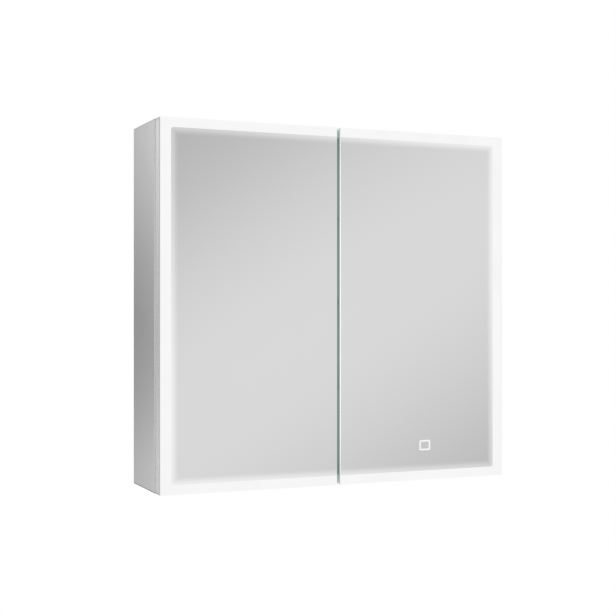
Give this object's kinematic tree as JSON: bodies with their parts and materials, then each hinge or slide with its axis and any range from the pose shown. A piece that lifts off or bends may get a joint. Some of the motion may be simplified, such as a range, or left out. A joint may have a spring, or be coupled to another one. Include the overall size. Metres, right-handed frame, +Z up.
{
  "type": "medicine cabinet with mirror",
  "caption": "Wall-hung aluminium medicine cabinet with mirrored doors, a lit frosted border, glass shelves and a wall rail.",
  "frame": {"origin": "on the wall plane, midway between the two screw holes of the wall rail", "axes": "+X to the right seen from the front, +Y into the wall, +Z up; the doors face -Y"},
  "size_m": [0.65, 0.16, 0.62],
  "materials": {
    "satin_aluminium": "brushed satin anodised",
    "liner_aluminium": "fine satin",
    "back_sheet": "matt light grey",
    "mirror": "silvered float glass, polished edges",
    "clear_glass": "clear float glass, polished greenish edges",
    "polished_steel": "polished",
    "zinc_steel": "zinc plated",
    "white_plastic": "fine moulded",
    "grey_nylon": "fine moulded",
    "circuit_board": "solder mask",
    "foam_board": "matt foam",
    "opal_light": "opal, lit white",
    "clear_rubber": "translucent",
    "black_rubber": "matt",
    "magnet": "dark ferrite"
  },
  "bodies": {
    "cabinet": {"back_mirror": "mirror", "back_panel": "back_sheet", "bottom_panel_liner": "liner_aluminium", "bottom_panel_shell": "satin_aluminium", "bracket_screws": "zinc_steel", "cable_bush": "grey_nylon", "catch_housings": "grey_nylon", "catch_magnets": "magnet", "corner_brackets": "zinc_steel", "driver_board": "circuit_board", "driver_case": "white_plastic", "driver_cover": "white_plastic", "driver_screws": "zinc_steel", "hanger_adjusters": "zinc_steel", "lead_grommets": "black_rubber", "left_hanger": "zinc_steel", "left_pivot_brackets": "zinc_steel", "left_side_liner": "liner_aluminium", "left_side_shell": "satin_aluminium", "lower_shelf": "clear_glass", "middle_shelf": "clear_glass", "pivot_pins": "polished_steel", "pivot_screws": "zinc_steel", "right_hanger": "zinc_steel", "right_pivot_brackets": "zinc_steel", "right_side_liner": "liner_aluminium", "right_side_shell": "satin_aluminium", "shelf_pads": "clear_rubber", "shelf_pins": "polished_steel", "top_panel_liner": "liner_aluminium", "top_panel_shell": "satin_aluminium", "upper_shelf": "clear_glass", "wall_rail": "zinc_steel"},
    "left_door": {"left_door_back_mirror": "mirror", "left_door_bottom_rail": "satin_aluminium", "left_door_bumpers": "clear_rubber", "left_door_corner_keys": "grey_nylon", "left_door_diffusers": "opal_light", "left_door_glass": "mirror", "left_door_hinge_stile": "satin_aluminium", "left_door_led_strips": "circuit_board", "left_door_meeting_stile": "satin_aluminium", "left_door_pivot_bushes": "grey_nylon", "left_door_spacer_ribs": "foam_board", "left_door_strike_plates": "zinc_steel", "left_door_top_rail": "satin_aluminium"},
    "right_door": {"right_door_back_mirror": "mirror", "right_door_bottom_rail": "satin_aluminium", "right_door_bumpers": "clear_rubber", "right_door_corner_keys": "grey_nylon", "right_door_diffusers": "opal_light", "right_door_glass": "mirror", "right_door_hinge_stile": "satin_aluminium", "right_door_led_strips": "circuit_board", "right_door_meeting_stile": "satin_aluminium", "right_door_pivot_bushes": "grey_nylon", "right_door_spacer_ribs": "foam_board", "right_door_strike_plates": "zinc_steel", "right_door_top_rail": "satin_aluminium", "touch_sensor": "circuit_board"}
  },
  "joints": [
    {"name": "left_door_hinge", "type": "hinge", "parent": "cabinet", "child": "left_door", "pos_m": [-0.317, -0.1435, -0.225], "axis": [0, 0, -1], "range_deg": [0, 105]},
    {"name": "right_door_hinge", "type": "hinge", "parent": "cabinet", "child": "right_door", "pos_m": [0.317, -0.1435, -0.225], "axis": [0, 0, 1], "range_deg": [0, 105]}
  ]
}
